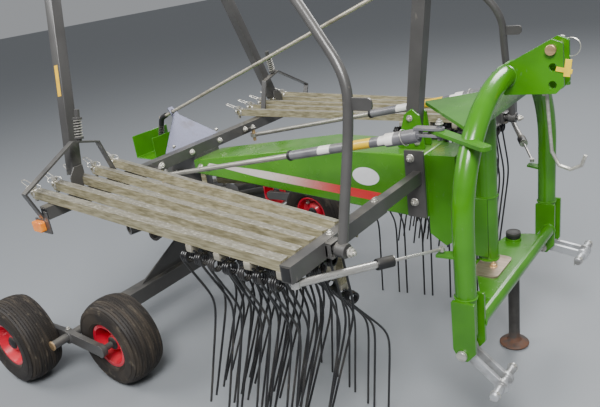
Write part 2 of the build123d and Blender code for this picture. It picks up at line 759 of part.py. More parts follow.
# Swivel struts. The barrel's fork holds the headstock's lug, and the rod's eye hangs
# round the rear bar's pin with room to drift.
def strut(side):
    front = Vector(strut_front[0], side * strut_front[1], strut_front[2])
    rear = Vector(strut_rear[0], side * strut_rear[1], strut_rear[2])
    along = (rear - front).normalized()
    level = Vector(along.X, along.Y, 0).normalized()
    neck = front + along * 76
    step = front + along * (strut_barrel * strut_step)
    end = front + along * strut_barrel
    pieces = [rod(neck, step, strut_radius), rod(step, end, strut_thin_radius)]
    for sign in (-1, 1):
        centre = front + Vector(0, 0, sign * (strut_fork_half + 4))
        pieces.append(bar(centre, centre + level * 84, 34, 8))
        pieces.append(Pos(centre.X, centre.Y, centre.Z) * Cylinder(17, 8))
    pieces.append(Pos(front.X, front.Y, front.Z) * Cylinder(strut_pin_radius, 2 * strut_fork_half + 40))
    cheek = front + level * 76
    pieces.append(block((cheek.X - 10, cheek.Y - 16, cheek.Z - 22), (cheek.X + 10, cheek.Y + 16, cheek.Z + 15)))
    inside = end - along * (strut_barrel - 110)
    barrel = join(*pieces) - rod(inside, end + along * 2, strut_rod_radius + strut_clearance)
    place = Pos(rear.X, rear.Y, rear.Z)
    shaft = rod(end - along * 330, rear - along * (eye_radius - 2), strut_rod_radius)
    eye = place * Cylinder(eye_radius, 18) - place * Cylinder(eye_bore, 20)
    return barrel, shaft - place * Cylinder(eye_bore, 60) + eye


for name, side in (("right", -1), ("left", 1)):
    barrel, shaft = strut(side)
    save(f"{name}_strut_barrel", barrel)
    save(f"{name}_strut_rod", shaft)


# Short braces from the front bars' ends to the headstock's legs.
def brace(side):
    front = Vector(brace_front[0], side * brace_front[1], brace_front[2])
    rear = Vector(brace_rear[0], side * brace_rear[1], brace_rear[2])
    along = (front - rear).normalized()
    end = rear + along * brace_tube
    place = Pos(rear.X, rear.Y, rear.Z)
    tube = rod(rear + along * 10, end, brace_radius) + rod(end - along * 56, end, brace_radius + 6)
    tube = tube + place * Cylinder(15, 22)
    tube = tube - place * Cylinder(brace_pin_radius + stub_clearance, 80)
    tube = tube - rod(rear + along * 60, end + along * 2, brace_rod_radius + strut_clearance)
    inner = rod(end - along * 200, front - along * 4, brace_rod_radius)
    return tube, inner + Pos(front.X, front.Y, front.Z) * Cylinder(9, 14)


for name, side in (("right", -1), ("left", 1)):
    tube, inner = brace(side)
    save(f"{name}_brace_tube", tube)
    save(f"{name}_brace_rod", inner)


# Upright post between two bolting lugs on the beam, and the stay rod behind it.
def post_lug(y):
    x, low = post_low[0], beam_top_front_z
    outline = [(x - 58, low), (x + 62, low), (x + 46, 1070), (x + 14, 1096), (x - 20, 1070)]
    return side_plate(outline, y, 8, 8)


save("post_lugs", post_lug(-post_side / 2 - 8), post_lug(post_side / 2))
stay_start = Vector(bracket_apex[0] - 100, 0, bracket_apex[1] - 37)
stay_end = Vector(post_head[0] + 34, 0, 1595)
stay_line = rod(stay_start, stay_end, stay_radius)
post = bar((post_low[0], 0, post_low[1]), (post_head[0], 0, post_head[1] + 40), post_side, post_side)
save("upright_post", post - stay_line)
elbow = rod(stay_start + Vector(40, 0, 16), stay_start + Vector(-4, 0, -2), 11)
grip = rod(stay_start + Vector(2, 0, 6), stay_start + Vector(-36, 0, -106), 12)
save("stay_rod", join(stay_line, elbow, grip))

# Folded crank bracket behind the rear bar, leaning back to the rod.
bracket_lean = 39.9
bracket_face = [(-205, 0), (160, 0), (160, 26), (24, 190), (16, 250), (-16, 250), (-24, 190), (-205, 26)]
crank_plate = cross_plate(bracket_face, 0, 6, 0, [(0, 222, stay_radius + 4)])
crank_plate = Pos(rear_face - 6, 0, rear_bar_z) * Rot(0, -bracket_lean, 0) * crank_plate
crank_foot = block((rear_face - 8, -205, rear_bar_z - 20), (rear_face, 160, rear_bar_z + 6))
save("crank_bracket", crank_plate + crank_foot)

# Rear channel, welded to the gearbox shoe's rear end.
tray_low = (tray_front_x - 160, -166, 822)
tray_high = (tray_front_x, 70, 940)
tray = block(tray_low, tray_high) - block(
    (tray_low[0] + 5, tray_low[1] - 1, tray_low[2] + 5), (tray_high[0] - 5, tray_high[1] + 1, tray_high[2] + 1),
)
save("rear_channel", tray)


# Lamps on plates at the rear bar's ends.
def lamp_plate():
    low, step, high = rear_bar_z - 91, rear_bar_z - 28, rear_bar_z + 8
    outline = [
        (rear_bar_x - 80, low), (rear_bar_x + 20, low), (rear_bar_x + 20, high), (rear_bar_x - 4, high),
        (rear_bar_x - 4, step), (rear_bar_x - 80, step),
    ]
    return side_plate(outline, -rear_bar_end_y - 6, 6, 5)


save("lamp_plates", lamp_plate(), mirrored(lamp_plate()))
lamp = Pos(rear_bar_x - 42, -rear_bar_end_y - 6 - 12, 804) * Box(62, 24, 44)
lamp = fillet(lamp.edges().filter_by(Axis.Y), 8)
save("lamps", lamp, mirrored(lamp))
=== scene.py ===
"""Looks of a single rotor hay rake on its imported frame."""

import json
import math

import bmesh
import bpy
from mathutils import Matrix, Vector

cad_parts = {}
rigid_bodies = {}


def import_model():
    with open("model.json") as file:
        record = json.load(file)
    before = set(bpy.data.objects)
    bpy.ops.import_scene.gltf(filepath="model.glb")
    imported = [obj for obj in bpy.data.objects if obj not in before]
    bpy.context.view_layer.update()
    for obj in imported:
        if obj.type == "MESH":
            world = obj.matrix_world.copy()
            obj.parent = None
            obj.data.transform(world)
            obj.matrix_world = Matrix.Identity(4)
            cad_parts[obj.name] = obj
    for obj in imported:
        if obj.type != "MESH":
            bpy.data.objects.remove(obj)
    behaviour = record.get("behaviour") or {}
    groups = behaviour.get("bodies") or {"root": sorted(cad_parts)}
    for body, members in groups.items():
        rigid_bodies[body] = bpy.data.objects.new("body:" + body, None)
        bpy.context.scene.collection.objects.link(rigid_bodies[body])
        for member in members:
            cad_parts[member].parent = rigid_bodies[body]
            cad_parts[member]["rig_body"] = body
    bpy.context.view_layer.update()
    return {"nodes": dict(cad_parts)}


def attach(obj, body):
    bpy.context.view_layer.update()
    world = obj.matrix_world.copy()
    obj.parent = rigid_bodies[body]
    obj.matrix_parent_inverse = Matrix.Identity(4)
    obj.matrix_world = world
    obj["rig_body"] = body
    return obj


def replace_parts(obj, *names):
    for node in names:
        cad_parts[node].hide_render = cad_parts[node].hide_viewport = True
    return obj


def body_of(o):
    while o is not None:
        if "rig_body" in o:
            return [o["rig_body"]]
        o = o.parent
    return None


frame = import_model()

# Camera: a standing visitor's view across the right front corner, a little from above,
# held slightly askew. All lengths are in metres, and hitch is the x of the lower link pins.
hitch = 0.957
focal_length, picture_width = 619.9, 600
heading, fall, lean = 129.636, 21.253, -8.272
camera_data = bpy.data.cameras.new("visitor")
camera_data.sensor_width = 36
camera_data.lens = focal_length / picture_width * camera_data.sensor_width
camera = bpy.data.objects.new("visitor", camera_data)
bpy.context.scene.collection.objects.link(camera)
camera.matrix_world = (
    Matrix.Translation((hitch + 0.7319, -2.0790, 1.6662))
    @ Matrix.Rotation(math.radians(heading - 90), 4, "Z")
    @ Matrix.Rotation(math.radians(90 - fall), 4, "X")
    @ Matrix.Rotation(math.radians(lean), 4, "Z")
)
bpy.context.scene.camera = camera

# Studio: a pale floor under a soft sky, lit by three large lamps. It is only there for the
# picture, and none of it is the machine's.
world = bpy.data.worlds.new("soft_sky")
world.use_nodes = True
sky = world.node_tree.nodes["Background"]
sky.inputs["Color"].default_value = (0.93, 0.96, 1.0, 1)
sky.inputs["Strength"].default_value = 0.34
bpy.context.scene.world = world
floor_form = bmesh.new()
bmesh.ops.create_grid(floor_form, x_segments=1, y_segments=1, size=30)
floor_mesh = bpy.data.meshes.new("floor")
floor_form.to_mesh(floor_mesh)
floor_form.free()
floor = bpy.data.objects.new("floor", floor_mesh)
bpy.context.scene.collection.objects.link(floor)
floor_material = bpy.data.materials.new("floor_paint")
floor_material.use_nodes = True
floor_shader = floor_material.node_tree.nodes["Principled BSDF"]
floor_shader.inputs["Base Color"].default_value = (0.215, 0.228, 0.242, 1)
floor_shader.inputs["Roughness"].default_value = 0.55
floor_mesh.materials.append(floor_material)
lit_spot = Vector((0, 0, 0.7))
for lamp_name, place, size, power in (
    ("key", (2.4, -3.4, 5.0), 2.2, 580),
    ("fill", (-4.0, -3.0, 4.8), 3.0, 270),
    ("far", (0.5, 4.5, 5.2), 3.0, 380),
):
    lamp_data = bpy.data.lights.new(lamp_name, "AREA")
    lamp_data.size = size
    lamp_data.energy = power
    lamp = bpy.data.objects.new(lamp_name, lamp_data)
    lamp.location = place
    lamp.rotation_euler = (lit_spot - Vector(place)).to_track_quat("-Z", "Y").to_euler()
    bpy.context.scene.collection.objects.link(lamp)


# Headstock. A bent steel tube with flat clevises, a gusset and a crossmember welded to it,
# sprayed bright green. The other green weldments are painted alike. The welds stand proud,
# and the edges of the plates are rounded.
class Shade:
    """A shader value. Python's operators on it add the Math nodes."""

    def __init__(self, finish, socket):
        self.finish, self.socket = finish, socket

    def maths(self, operation, first, second):
        return self.finish.node("ShaderNodeMath", {"operation": operation}, {0: first, 1: second})

    def __add__(self, other):
        return self.maths("ADD", self, other)

    def __sub__(self, other):
        return self.maths("SUBTRACT", self, other)

    def __rsub__(self, other):
        return self.maths("SUBTRACT", other, self)

    def __mul__(self, other):
        return self.maths("MULTIPLY", self, other)

    def over(self, other):
        return self.maths("MAXIMUM", self, other)

    def rise(self, low, high):
        """0 below low, 1 above high, smooth between."""
        values = {"Value": self, "From Min": low, "From Max": high}
        return self.finish.node("ShaderNodeMapRange", {"interpolation_type": "SMOOTHSTEP"}, values)


class Finish:
    """One material: its shader, and what varies over the surface."""

    def __init__(self, name, constants):
        self.material = bpy.data.materials.new(name)
        self.material.use_nodes = True
        self.tree = self.material.node_tree
        self.shader = self.tree.nodes["Principled BSDF"]
        for socket, value in constants.items():
            self.shader.inputs[socket].default_value = value
        self.place = self.node("ShaderNodeTexCoord", output="Object")
        self.facing = self.node("ShaderNodeTexCoord", output="Normal")

    def node(self, kind, settings=None, values=None, output=0):
        made = self.tree.nodes.new(kind)
        for name, value in (settings or {}).items():
            setattr(made, name, value)
        for key, value in (values or {}).items():
            self.join(value, made.inputs[key])
        return Shade(self, made.outputs[output])

    def join(self, value, socket):
        if isinstance(value, Shade):
            self.tree.links.new(value.socket, socket)
        else:
            socket.default_value = value

    def noise(self, scale, stretch=(1, 1, 1), detail=3):
        mapped = self.node("ShaderNodeMapping", None, {"Vector": self.place, "Scale": stretch})
        return self.node("ShaderNodeTexNoise", None, {"Vector": mapped, "Scale": scale, "Detail": detail})

    def axis(self, name, vector=None):
        return self.node("ShaderNodeSeparateXYZ", None, {"Vector": vector or self.place}, name)

    def mix(self, share, first, second):
        first, second = [c if isinstance(c, Shade) else (*c, 1) for c in (first, second)]
        return self.node("ShaderNodeMix", {"data_type": "RGBA"}, {0: share, 6: first, 7: second}, 2)

    def dust(self, amount):
        """Where dust has settled: faces that look up, in clouds."""
        level = self.axis("Z", self.facing).rise(0.2, 0.95)
        return level * self.noise(9, detail=4).rise(0.35, 0.75) * amount

    def colour(self, value):
        self.join(value, self.shader.inputs["Base Color"])

    def rough(self, value):
        self.join(value, self.shader.inputs["Roughness"])

    def bump(self, height, strength, distance):
        values = {"Height": height, "Strength": strength, "Distance": distance}
        self.join(self.node("ShaderNodeBump", None, values), self.shader.inputs["Normal"])


dust_colour = (0.30, 0.27, 0.21)


def paint(name, colour, roughness, dusty, deep, coat, stain=None):
    """Sprayed paint: a little uneven, orange-peeled, dusty above and scuffed in places."""
    finish = Finish(name, {"Coat Weight": coat, "Coat Roughness": 0.12, "Specular IOR Level": 0.5})
    cloud = finish.noise(5).rise(0.3, 0.7)
    body = finish.mix(cloud, [part * deep for part in colour], colour)
    scuff = finish.noise(70, (1, 1, 0.4), 5).rise(0.66, 0.72) * finish.noise(7).rise(0.5, 0.62)
    body = finish.mix(scuff * 0.5, body, stain or [part * 0.5 + 0.06 for part in colour])
    dust = finish.dust(dusty)
    finish.colour(finish.mix(dust, body, dust_colour))
    finish.rough(dust * 0.5 + finish.noise(24) * 0.12 + (roughness - 0.06))
    finish.bump(finish.noise(260, detail=2) + scuff * 0.6, 0.12, 0.0006)
    return finish


green_paint = paint("green_paint", (0.046, 0.212, 0.002), 0.24, 0.05, 0.70, 0.35)


crisp_angle = math.radians(35)


def piece(name, form, body, finish, merge=True):
    """A finished mesh, smooth but for its sharp edges, becomes a piece that rides on a body."""
    if merge:
        bmesh.ops.remove_doubles(form, verts=form.verts, dist=1e-6)
        bmesh.ops.recalc_face_normals(form, faces=form.faces)
    for face in form.faces:
        face.smooth = True
    for edge in form.edges:
        if edge.is_manifold and edge.calc_face_angle() > crisp_angle:
            edge.smooth = False
    mesh = bpy.data.meshes.new(name)
    form.to_mesh(mesh)
    form.free()
    mesh.materials.append(finish.material)
    made = bpy.data.objects.new(name, mesh)
    bpy.context.scene.collection.objects.link(made)
    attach(made, body)
    return made


def plated(node, finish, edge=0.0022, steps=2):
    """A fabricated piece as its solid, with the corners of its plates rounded over."""
    solid = frame["nodes"][node]
    body, = body_of(solid)
    form = bmesh.new()
    form.from_mesh(solid.data)
    bmesh.ops.remove_doubles(form, verts=form.verts, dist=1e-6)
    bmesh.ops.dissolve_limit(form, angle_limit=math.radians(0.6), verts=form.verts, edges=form.edges)
    made = piece(node + "_dressed", form, body, finish, merge=False)
    rounding = made.modifiers.new("rounding", "BEVEL")
    rounding.width = edge
    rounding.segments = steps
    rounding.limit_method = "ANGLE"
    rounding.angle_limit = math.radians(38)
    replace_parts(made, node)


def along(axis):
    """A turn that lays the local Z along an axis."""
    return Vector(axis).to_track_quat("Z", "X").to_matrix().to_4x4()


def edges_of(verts):
    return list(dict.fromkeys(edge for vert in verts for edge in vert.link_edges))


def add_weld(form, centre, axis, radius, bead=0.004):
    """A weld bead round a tube."""
    turn = along(axis)
    start = Vector(centre) + turn @ Vector((radius, 0, 0))
    spot = Matrix.Translation(start) @ turn @ Matrix.Rotation(math.pi / 2, 4, "X")
    ring = bmesh.ops.create_circle(form, cap_ends=False, segments=6, radius=bead, matrix=spot)["verts"]
    bmesh.ops.spin(
        form, geom=edges_of(ring), cent=centre, axis=axis, angle=math.tau, steps=40, use_merge=True,
    )


for node in (
    "headstock_frame", "lower_crossmember", "top_link_bracket", "post_lugs", "beam_head", "rear_channel",
):
    plated(node, green_paint)
link_side, arch_weld, cross_weld = 0.428, 0.0355, 0.0255
form = bmesh.new()
for side in (-1, 1):
    add_weld(form, (hitch, side * link_side, 0.587), (0, 0, 1), arch_weld)
    add_weld(form, (hitch + 0.022, side * 0.380, 0.474), (0, 1, 0), cross_weld)
    for y in (0.028, 0.040):
        add_weld(form, (hitch, side * y, 1.218), (0, 1, 0), arch_weld, 0.0035)
piece("headstock_welds", form, "headstock", green_paint)


# Hitch bolts, pins and hook. Turned and zinc-plated steel: hexagon heads on washers wherever a
# plate is bolted, and linch pins with wire rings. A yellow plastic tag hangs at the top link
# bracket, and a plated cover lies on the crossmember under the swivel.
def zinc(name, colour, roughness, grime):
    """Zinc on steel: soft spangle, long drawn streaks and brown grime in clouds."""
    finish = Finish(name, {"Metallic": 0.75, "Specular IOR Level": 0.5})
    spangle = finish.node("ShaderNodeTexVoronoi", None, {"Vector": finish.place, "Scale": 55})
    streak = finish.noise(7, (1.2, 14, 14), 4).rise(0.3, 0.72)
    body = finish.mix(streak, [part * 0.66 for part in colour], colour)
    body = finish.mix(spangle * 0.35, body, [part * 1.12 for part in colour])
    dirt = finish.noise(13, (0.5, 1, 1), 5).rise(0.52, 0.74) * grime
    finish.colour(finish.mix(dirt, body, (0.16, 0.13, 0.075)))
    finish.rough(dirt * 0.25 + streak * 0.1 + roughness)
    finish.bump(finish.noise(180), 0.15, 0.0005)
    return finish


plated_zinc = zinc("plated_zinc", (0.66, 0.64, 0.58), 0.30, 0.2)
yellow_zinc = zinc("yellow_zinc", (0.66, 0.45, 0.24), 0.32, 0.3)
brown_zinc = zinc("brown_zinc", (0.46, 0.36, 0.29), 0.34, 0.9)


def round_edges(form, edges, width, steps=1):
    bmesh.ops.bevel(
        form, geom=edges, offset=width, segments=steps, affect="EDGES", profile=0.5, material=-1,
    )


def add_block(form, spot, size):
    """A rectangular block about the middle that a matrix gives."""
    return bmesh.ops.create_cube(form, size=1, matrix=spot @ Matrix.Diagonal((*size, 1)))["verts"]


def add_bolt(form, place, axis, size, nut=True):
    """A hexagon head on a washer, with the end of the thread showing above it."""
    turn = Matrix.Translation(place) @ along(axis)
    layers = [(32, size * 1.25, size * 0.25, 0), (6, size * 0.95, size * 0.75, size * 0.25)]
    if nut:
        layers.append((16, size * 0.48, size * 0.55, size))
    for sides, radius, height, low in layers:
        spot = turn @ Matrix.Translation((0, 0, low + height / 2))
        made = bmesh.ops.create_cone(
            form, cap_ends=True, segments=sides, radius1=radius, radius2=radius, depth=height, matrix=spot,
        )
        rim = []
        for edge in edges_of(made["verts"]):
            middle = turn.inverted() @ ((edge.verts[0].co + edge.verts[1].co) / 2)
            if abs(middle.z - low - height) < 1e-5:
                rim.append(edge)
        round_edges(form, rim, size * 0.09)


def bolts(name, body, places, finish=plated_zinc):
    """One piece of bolts on a body, each given by its place, its axis and its size."""
    form = bmesh.new()
    for place, axis, size in places:
        add_bolt(form, place, axis, size)
    piece(name, form, body, finish, merge=False)


def add_ring(form, centre, axis, radius, wire, steps=24, sides=8, turns=1.0, climb=0.0):
    """A round wire turned about an axis: a closed ring, or a coil that climbs along it."""
    turn = along(axis)
    start = Vector(centre) - Vector(axis).normalized() * climb / 2
    wire_start = Matrix.Translation(start + turn @ Vector((radius, 0, 0)))
    spot = wire_start @ turn @ Matrix.Rotation(math.pi / 2, 4, "X")
    closed = turns == 1.0 and climb == 0.0
    made = bmesh.ops.create_circle(
        form, cap_ends=not closed, segments=sides, radius=wire / 2, matrix=spot,
    )["verts"]
    count = round(steps * turns)
    step = Vector(axis).normalized() * climb / count
    end = bmesh.ops.spin(
        form, geom=edges_of(made), cent=start, axis=axis, angle=math.tau * turns, steps=count, dvec=step,
        use_merge=closed,
    )["geom_last"]
    if not closed:
        last = [item for item in end if isinstance(item, bmesh.types.BMEdge)]
        bmesh.ops.contextual_create(form, geom=last)


def add_linch_pin(form, place, axis, upright, size=1.0):
    """A linch pin: a stout headed peg with a sprung wire ring folded over the shaft."""
    turn = Matrix.Translation(place) @ along(axis)
    for radius, depth, low, lift in ((0.0042, 0.046, -0.020, 0.003), (0.0078, 0.009, 0.024, 0)):
        spot = turn @ Matrix.Translation((0, 0, low * size + lift))
        bmesh.ops.create_cone(
            form, cap_ends=True, segments=12, radius1=radius * size, radius2=radius * size * 0.9,
            depth=depth * size, matrix=spot,
        )
    centre = Vector(place) + Vector(upright) * 0.003
    add_ring(form, centre, upright, 0.0235 * size, 0.0034 * size, 28, 6)


for node in ("hitch_bolts", "swivel_pin", "shaft_hook"):
    plated(node, plated_zinc, 0.0016)
plated("top_link_pin", yellow_zinc, 0.0016)
tag = bmesh.new()
bracket_face = -0.0401
for x, z, wide, thick, tall, tip in (
    (0.186, 1.236, 0.050, 0.0030, 0.014, 0.2), (0.197, 1.243, 0.020, 0.0038, 0.054, 0.1),
):
    middle = Vector((hitch + x, bracket_face - thick / 2, z))
    add_block(tag, Matrix.Translation(middle) @ Matrix.Rotation(tip, 4, "Y"), (wide, thick, tall))
yellow_plastic = Finish("yellow_plastic", {"Specular IOR Level": 0.45})
faded = yellow_plastic.noise(40).rise(0.4, 0.8) * 0.4
yellow_plastic.colour(yellow_plastic.mix(faded, (0.80, 0.56, 0.02), (0.50, 0.34, 0.03)))
yellow_plastic.rough(yellow_plastic.noise(60) * 0.15 + 0.35)
yellow_plastic.bump(yellow_plastic.noise(200), 0.1, 0.0004)
piece("pin_tag", tag, "headstock", yellow_plastic)
form = bmesh.new()
add_linch_pin(form, (hitch + 0.146, 0.055, 1.301), (0.3, 0, 1), (0, 1, 0))
add_ring(form, (hitch + 0.178, 0.060, 1.290), (0, 1, 0), 0.030, 0.0036, 28, 6)
link_height, lever_length, pin_half = 0.388, 0.154, 0.080
for side, drop in ((-1, math.radians(38.7)), (1, math.radians(7.5))):
    tip = Vector((math.cos(drop), 0, -math.sin(drop))) * lever_length
    for end in (-1, 1):
        spot = (hitch + tip.x, side * link_side + end * pin_half, link_height + tip.z)
        add_linch_pin(form, spot, (0.6, 0, 0.8), (0, 1, 0), 0.7)
piece("headstock_linch_pins", form, "headstock", plated_zinc)
cover = bmesh.new()
add_block(cover, Matrix.Translation((hitch - 0.058, -0.055, 0.5035)), (0.104, 0.176, 0.007))
front_corners = []
for edge in cover.edges:
    first, second = edge.verts
    if min(first.co.x, second.co.x) > hitch - 0.05 and abs(first.co.z - second.co.z) > 0.005:
        front_corners.append(edge)
round_edges(cover, front_corners, 0.022, 4)
piece("swivel_cover", cover, "headstock", brown_zinc)
cover_bolt = ((hitch - 0.046, -0.064, 0.507), (0, 0, 1), 0.012)
bolts("swivel_cover_bolts", "headstock", [cover_bolt], yellow_zinc)

# Lower link levers. Silver-painted steel castings, rough from the sand mould, with a turned
# pin at the tip for the tractor's link. Each hangs on a pin between its clevis plates.
cast = Finish("cast_silver", {"Metallic": 0.65, "Coat Weight": 0.1})
pit = cast.noise(120, detail=4)
# Dark clouds at random: painted shade for the shadows of the curved castings, with some soot.
soot_and_painted_shade = cast.noise(11, detail=4).rise(0.45, 0.7) * 0.8
cast.colour(cast.mix(soot_and_painted_shade, (0.56, 0.57, 0.59), (0.17, 0.16, 0.14)))
cast.rough(pit * 0.2 + 0.28)
cast.bump(pit, 0.35, 0.0012)
for side in ("right", "left"):
    plated(side + "_link_lever", cast, 0.0045, 3)

# Parking stand. A dark painted tube with a rusty pressed foot welded below and a black plastic
# cap pushed in above. It slides in a guide tube welded to the crossmember.
stand_paint = Finish("stand_paint", {"Specular IOR Level": 0.4})
height = stand_paint.axis("Z")
rust = (1 - height.rise(0.03, 0.075)) * stand_paint.noise(30, detail=5).rise(0.3, 0.6)
cloud = stand_paint.noise(20).rise(0.3, 0.7)
metal = stand_paint.mix(cloud, (0.030, 0.028, 0.026), (0.055, 0.052, 0.048))
stand_paint.colour(stand_paint.mix(rust, metal, (0.11, 0.050, 0.028)))
stand_paint.rough(rust * 0.35 + 0.42)
stand_paint.bump(stand_paint.noise(140, detail=4) * (rust + 0.3), 0.3, 0.001)
plated("parking_stand", stand_paint, 0.0018)
black_plastic = Finish("black_plastic", {"Specular IOR Level": 0.45})
black_plastic.colour(black_plastic.mix(black_plastic.dust(0.5), (0.012, 0.012, 0.013), dust_colour))
black_plastic.rough(black_plastic.noise(60) * 0.15 + 0.42)
black_plastic.bump(black_plastic.noise(300), 0.1, 0.0004)


def add_lathe(form, profile, centre, axis, steps=40):
    """A turned shape: a closed profile of (distance along the axis, radius) spun about it."""
    turn = along(axis)
    verts = [form.verts.new(Vector(centre) + turn @ Vector((radius, 0, up))) for up, radius in profile]
    edges = [form.edges.new(pair) for pair in zip(verts, verts[1:] + verts[:1])]
    bmesh.ops.spin(
        form, geom=edges + verts, cent=centre, axis=axis, angle=math.tau, steps=steps, use_merge=True,
    )


cap = bmesh.new()
cap_profile = [
    (0.0, 0.0235), (0.0, 0.0285), (0.016, 0.0288), (0.020, 0.026), (0.020, 0.019), (0.006, 0.017),
    (0.006, 0.001), (0.002, 0.001), (0.002, 0.0235),
]
add_lathe(cap, cap_profile, (hitch - 0.060, 0.191, 0.516), (0, 0, 1))
piece("stand_cap", cap, "parking_stand", black_plastic)

# Main beam. A welded box beam, tall in front and low behind, in green paint. A pale stripe that
# runs into red and a bare oval label are film, so they lie in the beam's own finish.
beam_paint = Finish("beam_paint", {"Coat Weight": 0.4, "Coat Roughness": 0.12})
cloud = beam_paint.noise(4).rise(0.3, 0.7)
green = beam_paint.mix(cloud, (0.040, 0.170, 0.003), (0.060, 0.235, 0.004))
lengthwise, upright = beam_paint.axis("X"), beam_paint.axis("Z")
side_face = beam_paint.axis("Y", beam_paint.facing)
side_face = (side_face * side_face).rise(0.6, 0.8)
stripe_x, stripe_z, stripe_fall = hitch - 1.195, 0.793, 0.0633
stripe_rear, stripe_front, end_slant = hitch - 1.44, hitch - 0.507, 1.3
offset = upright - (stripe_x - lengthwise) * stripe_fall - stripe_z
half = (lengthwise - (hitch - 1.45)).rise(0, 0.40) * 0.0145 + 0.005
below, above = (offset + half).rise(-0.0008, 0.0008), 1 - (offset - half).rise(-0.0008, 0.0008)
slanted_end = 1 - (lengthwise - stripe_front - offset * end_slant).rise(0, 0.003)
reach = (lengthwise - stripe_rear).rise(0, 0.004) * slanted_end
film = below * above * reach * side_face
redness = (lengthwise - (hitch - 1.12)).rise(0, 0.50)
film_colour = beam_paint.mix(redness, (0.62, 0.57, 0.52), (0.58, 0.024, 0.028))
oval_x, oval_z, oval_length, oval_height = hitch - 0.547, 0.832, 16.1, 26.3
along_oval, up_oval = (lengthwise - oval_x) * oval_length, (upright - oval_z) * oval_height
oval = (1 - (along_oval * along_oval + up_oval * up_oval).rise(0.97, 1.03)) * side_face
patch = beam_paint.noise(90, detail=5).rise(0.63, 0.70) * beam_paint.noise(6).rise(0.52, 0.62)
dust = beam_paint.dust(0.2)
filmed = beam_paint.mix(oval, beam_paint.mix(film, green, film_colour), (0.74, 0.74, 0.76))
painted = beam_paint.mix(patch * 0.4, filmed, (0.10, 0.13, 0.05))
beam_paint.colour(beam_paint.mix(dust, painted, dust_colour))
beam_paint.rough(dust * 0.5 + beam_paint.noise(24) * 0.12 + 0.20)
beam_paint.bump(beam_paint.noise(260) + film * 0.8, 0.12, 0.0006)
plated("main_beam", beam_paint, 0.006, 3)
form = bmesh.new()
for z in (0.509, 0.766):
    add_weld(form, (hitch - 0.088, 0, z), (0, 0, 1), 0.0365)
piece("swivel_tube_welds", form, "frame", green_paint)
hardware = []
for side in (-1, 1):
    for x, z in ((-0.336, 0.928), (-0.330, 0.752)):
        hardware.append(((hitch + x, side * 0.113, z), (0, side, 0), 0.013))
    for x in (-1.500, -1.440):
        hardware.append(((hitch + x, side * 0.103, 0.790), (0, side, 0), 0.012))
bolts("beam_bolts", "frame", hardware)

# Crossbars, post, bows, axle and rockers. Square steel tube and flat bar in dark grey paint,
# bolted or welded together. Black plastic plugs close the open tube ends.
grey_paint = paint("grey_paint", (0.064, 0.062, 0.060), 0.34, 0.26, 0.70, 0.25, (0.17, 0.155, 0.13))
for node in ("right_front_bar", "left_front_bar", "rear_bar", "axle", "upright_post"):
    plated(node, grey_paint, 0.004, 3)
for node in ("rear_bows", "right_rocker", "left_rocker"):
    plated(node, grey_paint, 0.002)
form = bmesh.new()
for side in (-1, 1):
    for x, y, z, deep, tall in (
        (-0.311, 0.9265, 0.855, 0.030, 0.046), (-1.572, 0.9055, 0.861, 0.042, 0.042),
    ):
        plug = add_block(form, Matrix.Translation((hitch + x, side * y, z)), (deep, 0.003, tall))
        round_edges(form, edges_of(plug), 0.0012, 2)
piece("bar_end_plugs", form, "frame", black_plastic)
rotor = hitch - 1.730
front_bar, rear_bar_face = hitch - 0.311, hitch - 1.546
bar_bolts = []
for y in (-0.545, -0.30, -0.10, 0.10, 0.30):
    bar_bolts.append(((rear_bar_face, y, 0.861), (1, 0, 0), 0.012))
for side in (-1, 1):
    for y in (0.43, 0.70):
        bar_bolts.append(((front_bar, side * y, 0.883), (0, 0, 1), 0.009))
    bar_bolts.append(((rotor - 0.003, side * 0.880, 0.250), (0, 0, 1), 0.008))
bolts("crossbar_bolts", "frame", bar_bolts)


# Racked and slung tine arms. Galvanised square tube with a turned plug at the rotor end,
# where a pin with a sprung wire clip holds it in service. Grass juice has dulled the zinc.
def eased(points, cut, steps=5):
    """A broken line with its inner corners turned into smooth bends."""
    points = [Vector(point) for point in points]
    smooth = [points[0]]
    for before, here, after in zip(points[:-2], points[1:-1], points[2:]):
        start = here + (before - here).normalized() * min(cut, (before - here).length * 0.48)
        end = here + (after - here).normalized() * min(cut, (after - here).length * 0.48)
        for step in range(steps + 1):
            share = step / steps
            smooth.append(start.lerp(here, share).lerp(here.lerp(end, share), share))
    return smooth + [points[-1]]


def add_wire(form, points, radius, sides=8):
    """Round wire or tube pushed along a line of points and closed at both ends."""
    heading = (points[1] - points[0]).normalized()
    spot = Matrix.Translation(points[0]) @ along(heading)
    ring = bmesh.ops.create_circle(form, cap_ends=True, segments=sides, radius=radius, matrix=spot)["verts"]
    edges = [edge for edge in edges_of(ring) if all(vert in ring for vert in edge.verts)]
    for before, here, after in zip(points, points[1:], points[2:] + points[-1:]):
        facing = ((here - before).normalized() + (after - here).normalized()).normalized()
        made = bmesh.ops.extrude_edge_only(form, edges=edges)["geom"]
        ring = [item for item in made if isinstance(item, bmesh.types.BMVert)]
        edges = [
            item for item in made
            if isinstance(item, bmesh.types.BMEdge) and all(vert in ring for vert in item.verts)
        ]
        bmesh.ops.translate(form, verts=ring, vec=here - before)
        turn = heading.rotation_difference(facing).to_matrix()
        bmesh.ops.rotate(form, verts=ring, cent=here, matrix=turn)
        heading = facing
    bmesh.ops.contextual_create(form, geom=edges)


